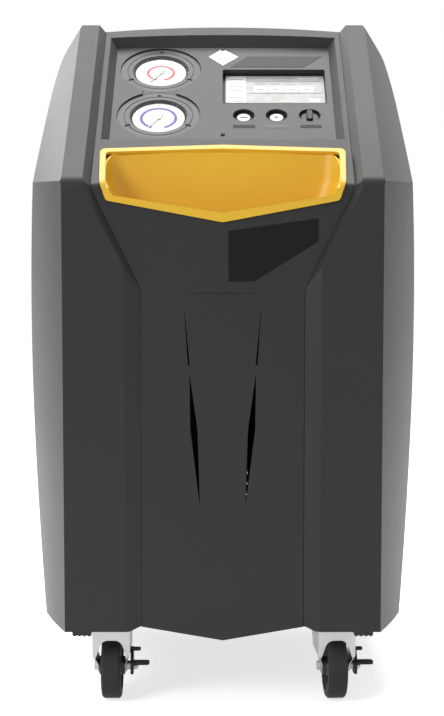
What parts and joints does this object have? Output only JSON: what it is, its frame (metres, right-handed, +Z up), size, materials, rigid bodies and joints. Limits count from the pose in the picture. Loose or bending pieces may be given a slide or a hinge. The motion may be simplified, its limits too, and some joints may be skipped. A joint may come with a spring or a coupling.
{
  "type": "refrigerant recovery machine",
  "caption": "Wheeled charcoal service cabinet with a sloped control panel, two pressure gauges, a screen, a yellow storage tray and braked front casters.",
  "frame": {"origin": "centre of the footprint on the floor", "axes": "+X to the right seen from the front, -Y towards the front, +Z up"},
  "size_m": [0.602, 0.62, 1.058],
  "materials": {
    "charcoal_shell": "fine texture",
    "panel_grey": "satin",
    "tray_yellow": "satin",
    "rear_sheet": "powder coat",
    "handle_black": "powder coat",
    "zinc": "zinc plated",
    "wheel_grey": "moulded",
    "tyre_rubber": "matt",
    "lever_steel": "zinc plated",
    "dial_white": "printed",
    "lens_clear": "clear",
    "black_plastic": "satin",
    "button_grey": "satin",
    "brass_fitting": "machined",
    "machine_black": "gloss paint",
    "pump_cast": "painted casting",
    "tank_steel": "paint",
    "coil_alu": "finned",
    "board_green": "printed board"
  },
  "bodies": {
    "machine": {"base_chassis": "rear_sheet", "caster_bolts": "zinc", "caster_plate_left": "zinc", "caster_plate_right": "zinc", "compressor": "machine_black", "condenser_coil": "coil_alu", "console_cover": "charcoal_shell", "control_board": "board_green", "control_collars": "black_plastic", "control_panel": "panel_grey", "cover_screws": "zinc", "display_module": "black_plastic", "equipment_shelf": "rear_sheet", "fan_motor": "machine_black", "fan_shroud": "zinc", "filter_drier": "machine_black", "frame_posts": "rear_sheet", "front_cover": "charcoal_shell", "high_gauge_case": "panel_grey", "high_gauge_dial": "dial_white", "high_gauge_lens": "lens_clear", "load_cell": "coil_alu", "low_gauge_case": "panel_grey", "low_gauge_dial": "dial_white", "low_gauge_lens": "lens_clear", "oil_separator": "machine_black", "power_inlet": "black_plastic", "rear_axle": "zinc", "rear_cover": "rear_sheet", "rear_handle": "handle_black", "scale_platform": "rear_sheet", "service_ports": "brass_fitting", "side_cover_left": "charcoal_shell", "side_cover_right": "charcoal_shell", "storage_tank": "tank_steel", "storage_tray": "tray_yellow", "switch_frame": "black_plastic", "vacuum_pump": "pump_cast", "valve_manifold": "brass_fitting"},
    "caster_left": {"caster_fork_left": "zinc", "caster_axle_left": "zinc"},
    "caster_right": {"caster_fork_right": "zinc", "caster_axle_right": "zinc"},
    "wheel_left": {"caster_wheel_left": "wheel_grey", "caster_tyre_left": "tyre_rubber"},
    "wheel_right": {"caster_wheel_right": "wheel_grey", "caster_tyre_right": "tyre_rubber"},
    "brake_left": {"brake_lever_left": "lever_steel"},
    "brake_right": {"brake_lever_right": "lever_steel"},
    "rear_left": {"rear_wheel_left": "wheel_grey", "rear_tyre_left": "tyre_rubber"},
    "rear_right": {"rear_wheel_right": "wheel_grey", "rear_tyre_right": "tyre_rubber"},
    "high_needle": {"high_gauge_needle": "black_plastic"},
    "low_needle": {"low_gauge_needle": "black_plastic"},
    "stop": {"stop_button": "button_grey"},
    "start": {"start_button": "button_grey"},
    "selector": {"selector_knob": "black_plastic"},
    "fan": {"fan_rotor": "black_plastic"},
    "rocker": {"switch_rocker": "black_plastic"}
  },
  "joints": [
    {"name": "caster_left_swivel", "type": "hinge", "parent": "machine", "child": "caster_left", "pos_m": [-0.1705, -0.203, 0.1175], "axis": [0, 0, 1], "continuous": true},
    {"name": "caster_right_swivel", "type": "hinge", "parent": "machine", "child": "caster_right", "pos_m": [0.1705, -0.203, 0.1175], "axis": [0, 0, 1], "continuous": true},
    {"name": "caster_left_roll", "type": "hinge", "parent": "caster_left", "child": "wheel_left", "pos_m": [-0.1705, -0.235, 0.05], "axis": [1, 0, 0], "continuous": true},
    {"name": "caster_right_roll", "type": "hinge", "parent": "caster_right", "child": "wheel_right", "pos_m": [0.17273, -0.23492, 0.05], "axis": [0.9976, 0.0698, 0], "continuous": true},
    {"name": "brake_left_press", "type": "hinge", "parent": "caster_left", "child": "brake_left", "pos_m": [-0.1705, -0.235, 0.05], "axis": [1, 0, 0], "range_deg": [0, 18]},
    {"name": "brake_right_press", "type": "hinge", "parent": "caster_right", "child": "brake_right", "pos_m": [0.17273, -0.23492, 0.05], "axis": [0.9976, 0.0698, 0], "range_deg": [0, 18]},
    {"name": "rear_left_roll", "type": "hinge", "parent": "machine", "child": "rear_left", "pos_m": [-0.245, 0.19, 0.1], "axis": [1, 0, 0], "continuous": true},
    {"name": "rear_right_roll", "type": "hinge", "parent": "machine", "child": "rear_right", "pos_m": [0.245, 0.19, 0.1], "axis": [1, 0, 0], "continuous": true},
    {"name": "high_needle_turn", "type": "hinge", "parent": "machine", "child": "high_needle", "pos_m": [-0.101, -0.01194, 0.97392], "axis": [0, 0.6, -0.8], "range_deg": [0, 290]},
    {"name": "low_needle_turn", "type": "hinge", "parent": "machine", "child": "low_needle", "pos_m": [-0.101, -0.11754, 0.89472], "axis": [0, 0.6, -0.8], "range_deg": [0, 290]},
    {"name": "stop_push", "type": "slide", "parent": "machine", "child": "stop", "axis": [0, 0.6, -0.8], "range_m": [0, 0.003], "stiffness_N_per_m": 400, "springref_m": -0.002},
    {"name": "start_push", "type": "slide", "parent": "machine", "child": "start", "axis": [0, 0.6, -0.8], "range_m": [0, 0.003], "stiffness_N_per_m": 400, "springref_m": -0.002},
    {"name": "selector_turn", "type": "hinge", "parent": "machine", "child": "selector", "pos_m": [0.1365, -0.1234, 0.8992], "axis": [0, 0.6, -0.8], "range_deg": [-60, 60]},
    {"name": "fan_turn", "type": "hinge", "parent": "machine", "child": "fan", "pos_m": [0, 0.18, 0.78], "axis": [0, 1, 0], "continuous": true},
    {"name": "rocker_tip", "type": "hinge", "parent": "machine", "child": "rocker", "pos_m": [0.06, 0.247, 0.44], "axis": [1, 0, 0], "range_deg": [0, 14]}
  ]
}
